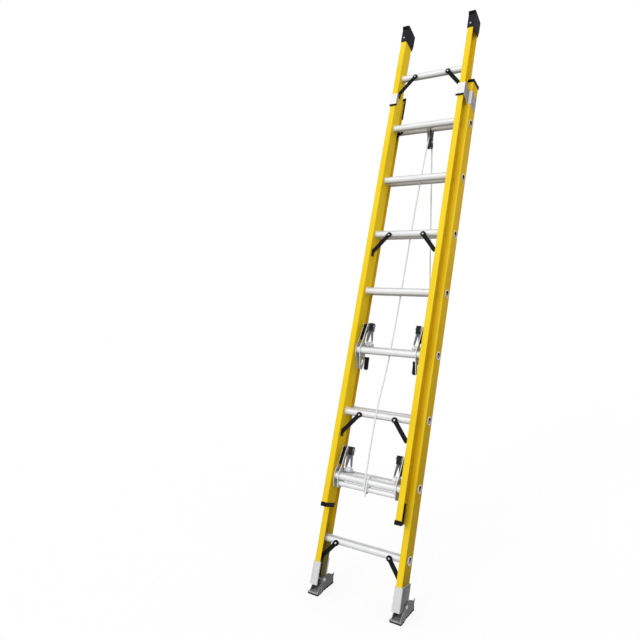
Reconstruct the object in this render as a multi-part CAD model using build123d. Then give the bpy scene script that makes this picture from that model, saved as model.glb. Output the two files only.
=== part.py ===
from build123d import *
from math import acos, asin, atan2, cos, degrees, hypot, pi, radians, sin, sqrt
import os

# Two-section fibreglass extension ladder, modelled leaning as it is used, shoes flat on the floor.
# Pieces are drawn in the ladder's own frame: X to the right, Y to the back, Z up along the rails.
# Z is zero at the fly section's bottom rung, Y is zero at the front of the fly rails. Millimetres.

# Stance
LEAN = 18.5

# Rungs
RUNG_PITCH = 304.8
RUNG_COUNT = 8
RUNG_R = 18.0
RUNG_WALL = 2.2
SWAGE_R = 20.0
SWAGE_T = 2.6
TREAD_GROOVES = 6
TREAD_STEP_DEG = 14.0
GROOVE_W = 2.0
GROOVE_DEPTH = 1.0
FIT_GAP = 0.1

# Rails: equal channels, the fly's open outward and the base's open inward so that their flanges hook
RAIL_DEPTH = 75.0
RAIL_FLANGE = 30.0
RAIL_WALL = 4.8
RAIL_CORNER_R = 4.0
FLY_WIDTH = 410.0
WIDTH_STEP = 20.0
SECTION_GAP = 2.4
FLY_BELOW = 146.0
FLY_ABOVE = 306.0
BASE_BELOW = 205.0
BASE_ABOVE = 234.0
BASE_LIFT = 14.0

# Caps
CAP_WALL = 2.5
TOP_CAP_RISE = 16.0
TOP_CAP_SKIRT = 88.0
TOP_CAP_BUMPER = 14.0
TOP_CAP_SLOPE = 30.0
TOP_CAP_BROW = 8.0
TOP_CAP_HEEL = 28.0
TOP_CAP_ROUND = 4.0
TOP_CAP_GROOVE = 1.5
TOP_CAP_GROOVE_W = 4.0
FOOT_CAP_WALL = 1.6
FOOT_CAP_H = 18.0
FOOT_INSERT_H = 92.0
FOOT_INSERT_D = 28.0
FOOT_SLOT_EDGE = 8.0
BASE_CAP_H = 14.0
BASE_CAP_TONGUE = 130.0
BASE_CAP_LIP = 1.0

# Guide brackets at the top of the base
GUIDE_H = 62.0
GUIDE_DROP = 56.0
GUIDE_T = 3.0
GUIDE_LINER_T = 2.5
GUIDE_LIP = 12.0
GUIDE_LIP_GAP = 2.0
GUIDE_CHEEK_H = 74.0
GUIDE_CHEEK_SLOPE = 14.0
GUIDE_RIVET_IN = 20.0
GUIDE_BRIM = 4.0
RUN_GAP = 0.5

# Boots and shoes
BOOT_T = 3.0
BOOT_H = 96.0
BOOT_RISE = 14.0
BOOT_HANG = 5.0
FOOT_PLATE_T = 2.0
FOOT_PLATE_IN = 6.0
SHOE_T = 3.0
SHOE_GAP = 0.5
SHOE_PIVOT_UP = 18.0
SHOE_PIVOT_BACK = 50.0
SHOE_TOE = 58.0
SHOE_TOE_LIP = 3.0
SHOE_FLARE = 5.0
SHOE_HEEL = 86.0
SHOE_DEPTH = 44.0
SHOE_EAR_TOP = 12.0
SHOE_SPUR = 9.0
PAD_T = 8.0
PAD_GROOVES = 6
PAD_GROOVE_W = 6.0
PAD_GROOVE_DEPTH = 3.0
BOLT_R = 5.0
BOLT_HEAD_R = 8.5
BOLT_HEAD_T = 5.0
PIVOT_GAP = 0.05

# Knee braces
STRAP_W = 21.0
STRAP_T = 4.0
EYE_R = 14.0
BRACE_REACH = 82.0
GUSSET_REACH = 60.0
BRACE_FALL = 94.0
BRACE_EYE_DROP = 11.0
BRACE_FOOT_H = 34.0
RIVET_R = 4.2
RIVET_H = 2.4
CAP_RIVET_UP = 24.0

# Rung locks
LOCK_PLATE_T = 3.0
LOCK_SPREAD = 22.0
LOCK_TOP = 142.0
LOCK_HEAD_W = 22.0
LOCK_SHOULDER = 50.0
LOCK_SHOULDER_BACK = 16.0
LOCK_NOSE = 15.0
LOCK_NOSE_H = 32.0
LOCK_TAIL_DOWN = 92.0
LOCK_TAIL_W = 28.0
LOCK_TIE_EDGE = 7.0
LOCK_BACK_GAP = 5.0
LOCK_STRIP = 10.0
LOCK_CORNER_R = 4.0
LOCK_FILL_DEPTH = 14.0
LOCK_FILL_EDGE = 2.0
HOOK_PIN_UP = 128.0
HOOK_PIN_IN = 6.5
HOOK_PIN_R = 4.0
HOOK_GAP = 0.4
HOOK_CLEAR = 0.6
HOOK_HEEL_DEG = 6.0
HOOK_FOOT_T = 14.0
HOOK_FOOT_W = 36.0
HOOK_HEAD_W = 20.0
HOOK_LEG_W = 6.0
HOOK_ARM_W = 10.0
HOOK_BOSS_R = 11.0
HOOK_CAP_T = 3.0
HOOK_CAP_DOWN = 25.0
FLIPPER_PIN_DOWN = 34.0
FLIPPER_PIN_IN = 8.0
FLIPPER_PIN_R = 3.0
FLIPPER_W = 23.0
FLIPPER_L = 58.0
FLIPPER_T = 4.0
FLIPPER_INSET = 6.0
FLIPPER_BARREL = 3.0
FLIPPER_TAPER = 6.0
FLIPPER_HANG_DEG = 6.0
SPRING_WIRE = 1.8
SPRING_R = 9.0
SPRING_PITCH = 2.9
SPRING_TURNS = 2
SPRING_LEG = 14.0
SPRING_GAP = 1.4
TIE_BAR_R = 12.0
TIE_BAR_DOWN = 33.0

# Pulley and rope
ROPE_R = 4.0
ROPE_SIDES = 12
ROPE_GAP = 0.3
PULLEY_X = 4.0
PULLEY_HANG = 72.0
SHEAVE_GROOVE_R = 20.0
SHEAVE_RIM_R = 27.0
SHEAVE_W = 13.0
AXLE_R = 4.0
CHEEK_T = 3.5
CHEEK_W = 30.0
CHEEK_GAP = 0.6
HOUSING_BELOW = 34.0
HOUSING_CORNER = 6.0
HOUSING_SHOULDER = 16.0
HOUSING_BRIDGE = 14.0
HOUSING_KEEPER = 8.0
STRAP_BAND_T = 2.5
STRAP_BAND_W = 18.0
STEM_W = 10.0
STEM_H = 8.0
TAIL_LENGTH = 1300.0
KNOT_R = 11.8
KNOT_L = 26.0
TIE_TAIL = 14.0

# Derived places
FLY_HALF = FLY_WIDTH / 2
BASE_HALF = FLY_HALF + WIDTH_STEP
FLY_WEB_IN = FLY_HALF - RAIL_FLANGE
FLY_WEB_OUT = FLY_WEB_IN + RAIL_WALL
BASE_WEB_IN = BASE_HALF - RAIL_WALL
BASE_TIP = BASE_HALF - RAIL_FLANGE
BASE_FRONT = RAIL_DEPTH - 2 * RAIL_WALL - SECTION_GAP
BASE_BACK = BASE_FRONT + RAIL_DEPTH
FLY_RUNG_Y = RAIL_DEPTH / 2
BASE_RUNG_Y = BASE_FRONT + RAIL_DEPTH / 2
RUN_LENGTH = (RUNG_COUNT - 1) * RUNG_PITCH
FLY_RUNG_Z = [i * RUNG_PITCH for i in range(RUNG_COUNT)]
BASE_RUNG_Z = [BASE_LIFT + (i - 1) * RUNG_PITCH for i in range(RUNG_COUNT)]
FLY_LOW = -FLY_BELOW
FLY_HIGH = RUN_LENGTH + FLY_ABOVE
BASE_LOW = BASE_RUNG_Z[0] - BASE_BELOW
BASE_HIGH = BASE_RUNG_Z[-1] + BASE_ABOVE
SHOE_PIVOT_Y = BASE_FRONT + SHOE_PIVOT_BACK
SHOE_PIVOT_Z = BASE_LOW + SHOE_PIVOT_UP
FLOOR_DROP = SHOE_DEPTH + SHOE_T + PAD_T

pieces = {}


def block(x0, x1, y0, y1, z0, z1):
    return Pos((x0 + x1) / 2, (y0 + y1) / 2, (z0 + z1) / 2) * Box(x1 - x0, y1 - y0, z1 - z0)


def side_plate(points, x0, x1):
    face = Plane.YZ.offset(x0) * make_face(Polyline(*points, close=True))
    return extrude(face, amount=x1 - x0, dir=(1, 0, 0))


def front_plate(points, y0, y1):
    face = Plane.XZ.offset(-y0) * make_face(Polyline(*points, close=True))
    return extrude(face, amount=y1 - y0, dir=(0, 1, 0))


def plan_plate(points, z0, z1):
    face = Plane.XY.offset(z0) * make_face(Polyline(*points, close=True))
    return extrude(face, amount=z1 - z0, dir=(0, 0, 1))


def x_rod(radius, x0, x1, y, z):
    return Pos((x0 + x1) / 2, y, z) * Rot(0, 90, 0) * Cylinder(radius, x1 - x0)


def y_rod(radius, y0, y1, x, z):
    return Pos(x, (y0 + y1) / 2, z) * Rot(90, 0, 0) * Cylinder(radius, y1 - y0)


def left_of(shape):
    return mirror(shape, about=Plane.YZ)


def group(shapes):
    return Compound(children=[solid for shape in shapes for solid in shape.solids()])


def pair(name, shape):
    pieces[name + "_right"] = shape
    pieces[name + "_left"] = left_of(shape)


# Rails
def channel(web_x, tip_x, y0, z0, z1):
    inward = 1 if tip_x > web_x else -1
    wall_x = web_x + inward * RAIL_WALL
    rail = block(min(web_x, tip_x), max(web_x, tip_x), y0, y0 + RAIL_DEPTH, z0, z1)
    y1 = y0 + RAIL_DEPTH - RAIL_WALL
    rail -= block(min(wall_x, tip_x), max(wall_x, tip_x), y0 + RAIL_WALL, y1, z0, z1)
    corners = [e for e in rail.edges().filter_by(Axis.Z) if abs(e.center().X - web_x) < RAIL_WALL / 2]
    return fillet(corners, RAIL_CORNER_R)


fly_rail = channel(FLY_WEB_IN, FLY_HALF, 0, FLY_LOW, FLY_HIGH)
for z in FLY_RUNG_Z:
    fly_rail -= x_rod(RUNG_R + FIT_GAP, FLY_WEB_IN - RAIL_WALL, FLY_WEB_OUT + RAIL_WALL, FLY_RUNG_Y, z)
pair("fly_rail", fly_rail)

base_rail = channel(BASE_HALF, BASE_TIP, BASE_FRONT, BASE_LOW, BASE_HIGH)
for z in BASE_RUNG_Z:
    base_rail -= x_rod(RUNG_R + FIT_GAP, BASE_WEB_IN - RAIL_WALL, BASE_HALF + RAIL_WALL, BASE_RUNG_Y, z)
bore_x0 = BASE_WEB_IN - RAIL_WALL
bolt_bore = x_rod(BOLT_R + PIVOT_GAP, bore_x0, bore_x0 + RAIL_FLANGE, SHOE_PIVOT_Y, SHOE_PIVOT_Z)
base_rail -= bolt_bore
pair("base_rail", base_rail)


# Rungs: tubes with a grooved tread, swaged against both faces of each web
def rung(web_in, web_out):
    end = web_out + SWAGE_T
    tube = x_rod(RUNG_R, -end, end, 0, 0)
    for side in (-1, 1):
        for face_0, face_1 in ((web_in - SWAGE_T, web_in), (web_out, end)):
            x0, x1 = sorted((side * face_0, side * face_1))
            tube += x_rod(SWAGE_R, x0, x1, 0, 0)
    tube -= x_rod(RUNG_R - RUNG_WALL, -end, end, 0, 0)
    groove_half = web_in - 2 * SWAGE_T
    floor = RUNG_R - GROOVE_DEPTH
    groove = block(-groove_half, groove_half, -GROOVE_W / 2, GROOVE_W / 2, floor, RUNG_R + GROOVE_DEPTH)
    for i in range(TREAD_GROOVES):
        turn = (i - (TREAD_GROOVES - 1) / 2) * TREAD_STEP_DEG + LEAN
        tube -= Rot(turn, 0, 0) * groove
    return tube


fly_rung = rung(FLY_WEB_IN, FLY_WEB_OUT)
base_rung = rung(BASE_WEB_IN, BASE_HALF)
for i in range(RUNG_COUNT):
    pieces[f"fly_rung_{i + 1}"] = Pos(0, FLY_RUNG_Y, FLY_RUNG_Z[i]) * fly_rung
    pieces[f"base_rung_{i + 1}"] = Pos(0, BASE_RUNG_Y, BASE_RUNG_Z[i]) * base_rung


# Fly top caps: a moulded hood over the rail end, drawn down to a point at the back, with a wall bumper
def top_cap():
    x0 = FLY_WEB_IN - CAP_WALL
    x1 = FLY_HALF + CAP_WALL
    top = FLY_HIGH + TOP_CAP_RISE
    back = RAIL_DEPTH + TOP_CAP_BUMPER
    skirt = FLY_HIGH - TOP_CAP_SKIRT
    point = skirt - TOP_CAP_BROW
    outline = [
        (-CAP_WALL, skirt), (-CAP_WALL, top - TOP_CAP_BROW), (TOP_CAP_BROW / 2, top), (TOP_CAP_BUMPER, top),
        (back, top - TOP_CAP_SLOPE), (back, skirt + TOP_CAP_HEEL), (back - TOP_CAP_BROW, point),
        (RAIL_DEPTH - TOP_CAP_BROW, point), (TOP_CAP_BROW, skirt),
    ]
    hood = side_plate(outline, x0, x1)
    across = hood.edges().filter_by(Axis.X)
    hood = fillet([e for e in across if e.center().Z > FLY_HIGH or e.center().Y > RAIL_DEPTH], TOP_CAP_ROUND)
    seam_0 = FLY_HIGH + TOP_CAP_GROOVE
    seam_1 = seam_0 + TOP_CAP_GROOVE_W
    band = block(x0, x1, -CAP_WALL, back, seam_0, seam_1)
    band -= block(x0 + TOP_CAP_GROOVE, x1 - TOP_CAP_GROOVE, TOP_CAP_GROOVE - CAP_WALL, back, seam_0, seam_1)
    return hood - band - block(FLY_WEB_IN, FLY_HALF, 0, RAIL_DEPTH, point, FLY_HIGH)


right_top_cap = top_cap()
pieces["fly_top_caps"] = group([right_top_cap, left_of(right_top_cap)])


# Fly foot caps: a thin cup that follows the channel's end, with a wear block standing up inside the channel
def foot_cap():
    wall = FOOT_CAP_WALL
    low = FLY_LOW - wall
    high = FLY_LOW + FOOT_CAP_H
    cup = block(FLY_WEB_IN - wall, FLY_HALF + wall, -wall, RAIL_DEPTH - RAIL_WALL, low, high)
    cup -= block(FLY_WEB_IN, FLY_HALF, 0, RAIL_DEPTH, FLY_LOW, high)
    cup -= block(FLY_WEB_OUT + wall, FLY_HALF + wall, RAIL_WALL + wall, RAIL_DEPTH, low, high)
    y1 = RAIL_WALL + FOOT_INSERT_D
    top = FLY_LOW + FOOT_INSERT_H
    wear = block(FLY_WEB_OUT, FLY_HALF - CAP_WALL, RAIL_WALL, y1, FLY_LOW, top)
    edge = FOOT_SLOT_EDGE
    wear -= block(FLY_WEB_OUT + CAP_WALL, FLY_HALF, RAIL_WALL + edge, y1 - edge, high, top)
    return cup + wear


right_foot = foot_cap()
pieces["fly_foot_caps"] = group([right_foot, left_of(right_foot)])


# Base top caps: an edging on the rail end with a tongue down the back flange
def base_cap():
    x0 = BASE_TIP - BASE_CAP_LIP
    x1 = BASE_HALF + CAP_WALL
    y0 = BASE_FRONT - CAP_WALL
    y1 = BASE_BACK + CAP_WALL
    top = BASE_HIGH + CAP_WALL
    low = BASE_HIGH - BASE_CAP_H
    lid = block(x0, x1, y0, y1, low, top)
    inner_x = BASE_WEB_IN - BASE_CAP_LIP
    inner_y0 = BASE_FRONT + RAIL_WALL + BASE_CAP_LIP
    inner_y1 = BASE_BACK - RAIL_WALL - BASE_CAP_LIP
    lid -= block(x0, inner_x, inner_y0, inner_y1, low, top)
    lid -= block(BASE_TIP, BASE_HALF, BASE_FRONT, BASE_FRONT + RAIL_WALL, low, BASE_HIGH)
    lid -= block(BASE_TIP, BASE_HALF, BASE_BACK - RAIL_WALL, BASE_BACK, low, BASE_HIGH)
    lid -= block(BASE_WEB_IN, BASE_HALF, BASE_FRONT, BASE_BACK, low, BASE_HIGH)
    tongue_low = BASE_HIGH - BASE_CAP_TONGUE
    return lid + block(x0 - CAP_WALL, BASE_TIP, inner_y1 - CAP_WALL, y1, tongue_low, top)


right_base_cap = base_cap()
pieces["base_top_caps"] = group([right_base_cap, left_of(right_base_cap)])


# Guide brackets: a strip bent round the fly rail's front and riveted to the base rail's web
GUIDE_HIGH = BASE_HIGH - GUIDE_DROP
GUIDE_LOW = GUIDE_HIGH - GUIDE_H
GUIDE_INNER = FLY_WEB_IN - GUIDE_LIP_GAP
GUIDE_FACE = -RUN_GAP - GUIDE_LINER_T


def guide_bracket():
    side = FLY_HALF + GUIDE_LIP_GAP
    step_y = BASE_FRONT - GUIDE_T
    inner = GUIDE_INNER - GUIDE_T
    strip = block(inner, side + GUIDE_T, GUIDE_FACE - GUIDE_T, GUIDE_FACE, GUIDE_LOW, GUIDE_HIGH)
    strip += block(inner, GUIDE_INNER, GUIDE_FACE, GUIDE_FACE + GUIDE_LIP, GUIDE_LOW, GUIDE_HIGH)
    high = GUIDE_HIGH - GUIDE_CHEEK_SLOPE
    low = high - GUIDE_CHEEK_H
    near = [(GUIDE_FACE, GUIDE_LOW), (BASE_FRONT, low), (BASE_FRONT, high), (GUIDE_FACE, GUIDE_HIGH)]
    strip += side_plate(near, side, side + GUIDE_T)
    strip += block(side, BASE_HALF + GUIDE_T, step_y, BASE_FRONT, low, high)
    back = BASE_BACK - GUIDE_LIP
    far = [(step_y, low), (back, low - GUIDE_CHEEK_SLOPE), (back, high - GUIDE_CHEEK_SLOPE), (step_y, high)]
    return strip + side_plate(far, BASE_HALF, BASE_HALF + GUIDE_T)


def guide_liner():
    side = FLY_HALF + GUIDE_LIP_GAP
    pad = block(GUIDE_INNER, side, GUIDE_FACE, -RUN_GAP, GUIDE_LOW - GUIDE_BRIM, GUIDE_HIGH)
    brim_x = GUIDE_INNER - GUIDE_T - GUIDE_BRIM
    brim_y = GUIDE_FACE - GUIDE_T - RUN_GAP
    return pad + block(brim_x, side, brim_y, -RUN_GAP, GUIDE_LOW - 2 * GUIDE_BRIM, GUIDE_LOW)


right_guide = guide_bracket()
pieces["guide_brackets"] = group([right_guide, left_of(right_guide)])
right_liner = guide_liner()
pieces["guide_liners"] = group([right_liner, left_of(right_liner)])


# Boots: a sleeve round the base rail's end, its side plate rising to the back
def boot():
    x0 = BASE_TIP - BOOT_T
    x1 = BASE_HALF + BOOT_T
    y0 = BASE_FRONT - BOOT_T
    y1 = BASE_BACK + BOOT_T
    low = BASE_LOW - BOOT_HANG
    high = BASE_LOW + BOOT_H
    sleeve = side_plate([(y0, low), (y1, low), (y1, high + BOOT_RISE), (y0, high)], x0, x1)
    sleeve -= block(BASE_TIP, BASE_HALF, BASE_FRONT, BASE_BACK, low, high + BOOT_RISE)
    sleeve -= block(x0, BASE_TIP, BASE_FRONT + RAIL_WALL, BASE_BACK - RAIL_WALL, low, high + BOOT_RISE)
    return sleeve - bolt_bore


# Foot plates: a flat steel plate over each boot's outer side, under the shoe's ear
def foot_plate():
    x0 = BASE_HALF + BOOT_T
    y0 = BASE_FRONT + FOOT_PLATE_IN
    y1 = BASE_BACK + BOOT_T
    low = BASE_LOW - BOOT_HANG
    high = BASE_LOW + BOOT_H
    plate = side_plate([(y0, low), (y1, low), (y1, high + BOOT_RISE), (y0, high)], x0, x0 + FOOT_PLATE_T)
    return plate - bolt_bore


right_boot = boot()
pieces["boots"] = group([right_boot, left_of(right_boot)])
right_foot_plate = foot_plate()
pieces["foot_plates"] = group([right_foot_plate, left_of(right_foot_plate)])


# Shoes: a folded metal channel with tall ears, a spur at the heel and a grooved rubber pad
EAR_OUT = BASE_HALF + BOOT_T + FOOT_PLATE_T + SHOE_GAP
EAR_IN = BASE_TIP - BOOT_T - SHOE_GAP


def place_shoe(shape):
    return Pos(0, SHOE_PIVOT_Y, SHOE_PIVOT_Z) * Rot(LEAN, 0, 0) * shape


def sole_plan(z0, z1):
    x0 = EAR_IN - SHOE_T
    x1 = EAR_OUT + SHOE_T
    toe_0 = x0 - SHOE_FLARE
    toe_1 = x1 + SHOE_FLARE
    return plan_plate(
        [(toe_0, -SHOE_TOE), (toe_1, -SHOE_TOE), (toe_1, -SHOE_TOE / 2), (x1, 0), (x1, SHOE_HEEL),
         (x0, SHOE_HEEL), (x0, 0), (toe_0, -SHOE_TOE / 2)], z0, z1)


def shoe():
    deck = -SHOE_DEPTH
    knee = -BOLT_HEAD_R - SHOE_T
    ear = [
        (-SHOE_TOE + SHOE_TOE_LIP, deck), (knee - SHOE_TOE_LIP, -BOLT_R), (knee, SHOE_EAR_TOP / 2),
        (-BOLT_R, SHOE_EAR_TOP), (SHOE_HEEL / 2, SHOE_EAR_TOP), (SHOE_HEEL - SHOE_SPUR / 2, -SHOE_SPUR),
        (SHOE_HEEL + SHOE_SPUR, -SHOE_SPUR / 2), (SHOE_HEEL, -SHOE_DEPTH / 2), (SHOE_HEEL, deck),
    ]
    body = side_plate(ear, EAR_OUT, EAR_OUT + SHOE_T) + side_plate(ear, EAR_IN - SHOE_T, EAR_IN)
    body += sole_plan(deck - SHOE_T, deck)
    lip_0 = EAR_IN - SHOE_T - SHOE_FLARE
    lip_1 = EAR_OUT + SHOE_T + SHOE_FLARE
    body += block(lip_0, lip_1, -SHOE_TOE, -SHOE_TOE + SHOE_T, deck, deck + SHOE_TOE_LIP)
    body -= x_rod(BOLT_R + PIVOT_GAP, EAR_IN - 2 * SHOE_T, EAR_OUT + 2 * SHOE_T, 0, 0)
    return body


def shoe_pad():
    top = -SHOE_DEPTH - SHOE_T
    pad = sole_plan(top - PAD_T, top)
    step = (SHOE_TOE + SHOE_HEEL) / (PAD_GROOVES + 1)
    half = PAD_GROOVE_W / 2
    low = top - PAD_T
    x0 = EAR_IN - RAIL_FLANGE
    x1 = EAR_OUT + RAIL_FLANGE
    for i in range(PAD_GROOVES):
        y = -SHOE_TOE + (i + 1) * step
        pad -= block(x0, x1, y - half, y + half, low, low + PAD_GROOVE_DEPTH)
    return pad


def shoe_bolt():
    shank = x_rod(BOLT_R, EAR_IN - SHOE_T, EAR_OUT + SHOE_T, 0, 0)
    head = x_rod(BOLT_HEAD_R, EAR_OUT + SHOE_T, EAR_OUT + SHOE_T + BOLT_HEAD_T, 0, 0)
    nut = x_rod(BOLT_HEAD_R, EAR_IN - SHOE_T - BOLT_HEAD_T, EAR_IN - SHOE_T, 0, 0)
    return shank + head + nut


pair("shoe", place_shoe(shoe()))
pair("shoe_pad", place_shoe(shoe_pad()))
right_bolt = place_shoe(shoe_bolt())
pieces["shoe_bolts"] = group([right_bolt, left_of(right_bolt)])


# Knee braces: a strap from the front of a rung down to the web, ending in a foot
def brace(web_x, rung_y, z):
    front = rung_y - RUNG_R - STRAP_T
    eye_x = web_x - BRACE_REACH
    eye_z = z - BRACE_EYE_DROP
    foot_z = eye_z - BRACE_FALL
    run = hypot(BRACE_REACH, BRACE_FALL)
    across_x = STRAP_W / 2 * BRACE_FALL / run
    across_z = STRAP_W / 2 * BRACE_REACH / run
    outline = [
        (eye_x - across_x, eye_z - across_z), (eye_x + across_x, eye_z + across_z),
        (web_x, foot_z + 2 * across_z), (web_x, foot_z), (web_x - 2 * across_x, foot_z),
    ]
    strap = front_plate(outline, front, front + STRAP_T)
    eye = y_rod(EYE_R, front, front + STRAP_T, eye_x, eye_z)
    foot_half = BRACE_FOOT_H / 2
    foot = block(web_x - STRAP_T, web_x, front, front + STRAP_W, foot_z - foot_half, foot_z + foot_half)
    return strap + eye + foot


def eye_rivet(eye_x, rung_y, z):
    front = rung_y - RUNG_R - STRAP_T
    return y_rod(RIVET_R, front - RIVET_H, front, eye_x, z - BRACE_EYE_DROP)


def gusset(web_x, rung_y, z):
    front = rung_y - RUNG_R - STRAP_T
    eye_x = web_x - GUSSET_REACH
    eye_z = z - BRACE_EYE_DROP
    plate = front_plate(
        [(eye_x, eye_z - EYE_R), (eye_x, eye_z + EYE_R), (web_x, eye_z + EYE_R),
         (web_x, eye_z - BRACE_FALL), (web_x - STRAP_W / 2, eye_z - BRACE_FALL)], front, front + STRAP_T)
    eye = y_rod(EYE_R, front, front + STRAP_T, eye_x, eye_z)
    foot = block(web_x - STRAP_T, web_x, front, front + STRAP_W, eye_z - BRACE_FALL, eye_z - SWAGE_R)
    bead = x_rod(SWAGE_R + RUN_GAP, web_x - SWAGE_T - RUN_GAP, web_x, rung_y, z)
    return plate + eye + foot - bead


fly_braces = [brace(FLY_WEB_IN, FLY_RUNG_Y, z) for z in FLY_RUNG_Z[1::3]]
fly_rivets = [eye_rivet(FLY_WEB_IN - BRACE_REACH, FLY_RUNG_Y, z) for z in FLY_RUNG_Z[1::3]]
pieces["fly_braces"] = group(fly_braces + [left_of(b) for b in fly_braces])
cap_rivet_x = FLY_HALF - RAIL_FLANGE / 2
cap_rivet_z = FLY_HIGH - TOP_CAP_SKIRT + CAP_RIVET_UP
fly_rivets.append(y_rod(RIVET_R, -CAP_WALL - RIVET_H, -CAP_WALL, cap_rivet_x, cap_rivet_z))
pieces["fly_rivets"] = group(fly_rivets + [left_of(r) for r in fly_rivets])

right = brace(BASE_WEB_IN, BASE_RUNG_Y, BASE_RUNG_Z[0])
pieces["base_braces_bottom"] = group([right, left_of(right)])
right = gusset(BASE_WEB_IN, BASE_RUNG_Y, BASE_RUNG_Z[-1])
pieces["base_gussets_top"] = group([right, left_of(right)])
base_rivets = [
    eye_rivet(BASE_WEB_IN - BRACE_REACH, BASE_RUNG_Y, BASE_RUNG_Z[0]),
    eye_rivet(BASE_WEB_IN - GUSSET_REACH, BASE_RUNG_Y, BASE_RUNG_Z[-1]),
]
for y in (BASE_FRONT + GUIDE_RIVET_IN, BASE_BACK - GUIDE_LIP - GUIDE_RIVET_IN):
    x = BASE_HALF + GUIDE_T
    base_rivets.append(x_rod(RIVET_R, x, x + RIVET_H, y, GUIDE_LOW))
pieces["base_rivets"] = group(base_rivets + [left_of(r) for r in base_rivets])


# Rung locks: side plates on the fly's rung, with a hook on the upper pin and a flipper on the lower pin
PLATE_OUT = FLY_WEB_IN - SWAGE_T
PLATE_IN = PLATE_OUT - LOCK_SPREAD
SPRING_X1 = PLATE_IN - LOCK_PLATE_T - SPRING_GAP - SPRING_WIRE / 2
SPRING_X0 = SPRING_X1 - SPRING_TURNS * SPRING_PITCH
HOOK_MID = SPRING_X0 - SPRING_WIRE / 2 - SPRING_GAP - HOOK_HEAD_W / 2
HOOK_X0 = HOOK_MID - HOOK_FOOT_W / 2
FLIPPER_X1 = PLATE_IN - LOCK_PLATE_T - FLIPPER_INSET
FLIPPER_X0 = FLIPPER_X1 - FLIPPER_W
LOCK_BACK = BASE_RUNG_Y - RUNG_R - LOCK_BACK_GAP
LOCK_FRONT = LOCK_BACK - LOCK_HEAD_W
HOOK_PIN_BACK = LOCK_FRONT + HOOK_PIN_IN
HOOK_R = hypot(BASE_RUNG_Y - HOOK_PIN_BACK, HOOK_PIN_UP - BASE_LIFT) - RUNG_R - HOOK_GAP
FLIPPER_PIN_BACK = LOCK_BACK - FLIPPER_PIN_IN
SHOULDER_Y = LOCK_NOSE + LOCK_SHOULDER_BACK


def lock_plate(x1, tail, windows, flipper_pin_hole):
    outline = [
        (LOCK_FRONT, LOCK_TOP), (LOCK_BACK - LOCK_CORNER_R, LOCK_TOP), (LOCK_BACK, LOCK_TOP - LOCK_HEAD_W),
        *tail, (LOCK_NOSE, -LOCK_NOSE_H / 2), (LOCK_NOSE, LOCK_NOSE_H / 2), (SHOULDER_Y, LOCK_SHOULDER),
    ]
    plate = side_plate(outline, x1 - LOCK_PLATE_T, x1)
    for window in windows:
        plate -= side_plate(window, x1 - LOCK_PLATE_T, x1)
    plate = fillet(plate.edges().filter_by(Axis.X), LOCK_CORNER_R)
    holes = [(RUNG_R + FIT_GAP, FLY_RUNG_Y, 0), (HOOK_PIN_R + PIVOT_GAP, HOOK_PIN_BACK, HOOK_PIN_UP)]
    if flipper_pin_hole:
        holes.append((FLIPPER_PIN_R + PIVOT_GAP, FLIPPER_PIN_BACK, -FLIPPER_PIN_DOWN))
    for radius, y, z in holes:
        plate -= x_rod(radius, x1 - 2 * LOCK_PLATE_T, x1 + LOCK_PLATE_T, y, z)
    return plate


def front_at(z):
    return SHOULDER_Y + (LOCK_FRONT - SHOULDER_Y) * (z - LOCK_SHOULDER) / (LOCK_TOP - LOCK_SHOULDER)


def head_window():
    low = RUNG_R + 2 * LOCK_STRIP
    high = HOOK_PIN_UP - HOOK_BOSS_R - LOCK_STRIP
    return [(front_at(low) + LOCK_STRIP, low), (LOCK_BACK - LOCK_STRIP, low),
            (LOCK_BACK - LOCK_STRIP, high), (front_at(high) + LOCK_STRIP, high)]


def long_plate(x1):
    low = -LOCK_TAIL_DOWN
    waist = -FLIPPER_PIN_DOWN - LOCK_STRIP
    heel = LOCK_BACK - LOCK_STRIP
    tail = [(LOCK_BACK, low + LOCK_HEAD_W), (heel, low), (LOCK_BACK - LOCK_TAIL_W, low), (SHOULDER_Y, waist)]
    hole = [(SHOULDER_Y + LOCK_STRIP, waist), (heel, waist), (heel - LOCK_STRIP, low + LOCK_STRIP)]
    return lock_plate(x1, tail, [head_window(), hole], True)


def tied_plate(x1):
    low = -TIE_BAR_DOWN - TIE_BAR_R - LOCK_TIE_EDGE
    toe = FLY_RUNG_Y + TIE_BAR_R + LOCK_TIE_EDGE
    tail = [(LOCK_BACK, -RUNG_R), (toe, low), (FLY_RUNG_Y - TIE_BAR_R, low)]
    return lock_plate(x1, tail, [head_window()], False)


# Lock housings: a black block between a lock's two plates, bored for the hook's pin
def lock_housing():
    low = LOCK_SHOULDER + LOCK_CORNER_R
    high = LOCK_TOP - LOCK_CORNER_R
    toe = front_at(low) + LOCK_FILL_EDGE
    back = LOCK_BACK - LOCK_FILL_EDGE
    outline = [
        (toe, low), (toe + LOCK_FILL_DEPTH, low), (back, high - LOCK_HEAD_W), (back - LOCK_CORNER_R, high),
        (front_at(high) + LOCK_FILL_EDGE, high),
    ]
    bore = x_rod(HOOK_PIN_R + PIVOT_GAP, PLATE_IN - LOCK_PLATE_T, PLATE_OUT, HOOK_PIN_BACK, HOOK_PIN_UP)
    return side_plate(outline, PLATE_IN, PLATE_OUT - LOCK_PLATE_T) - bore


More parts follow.
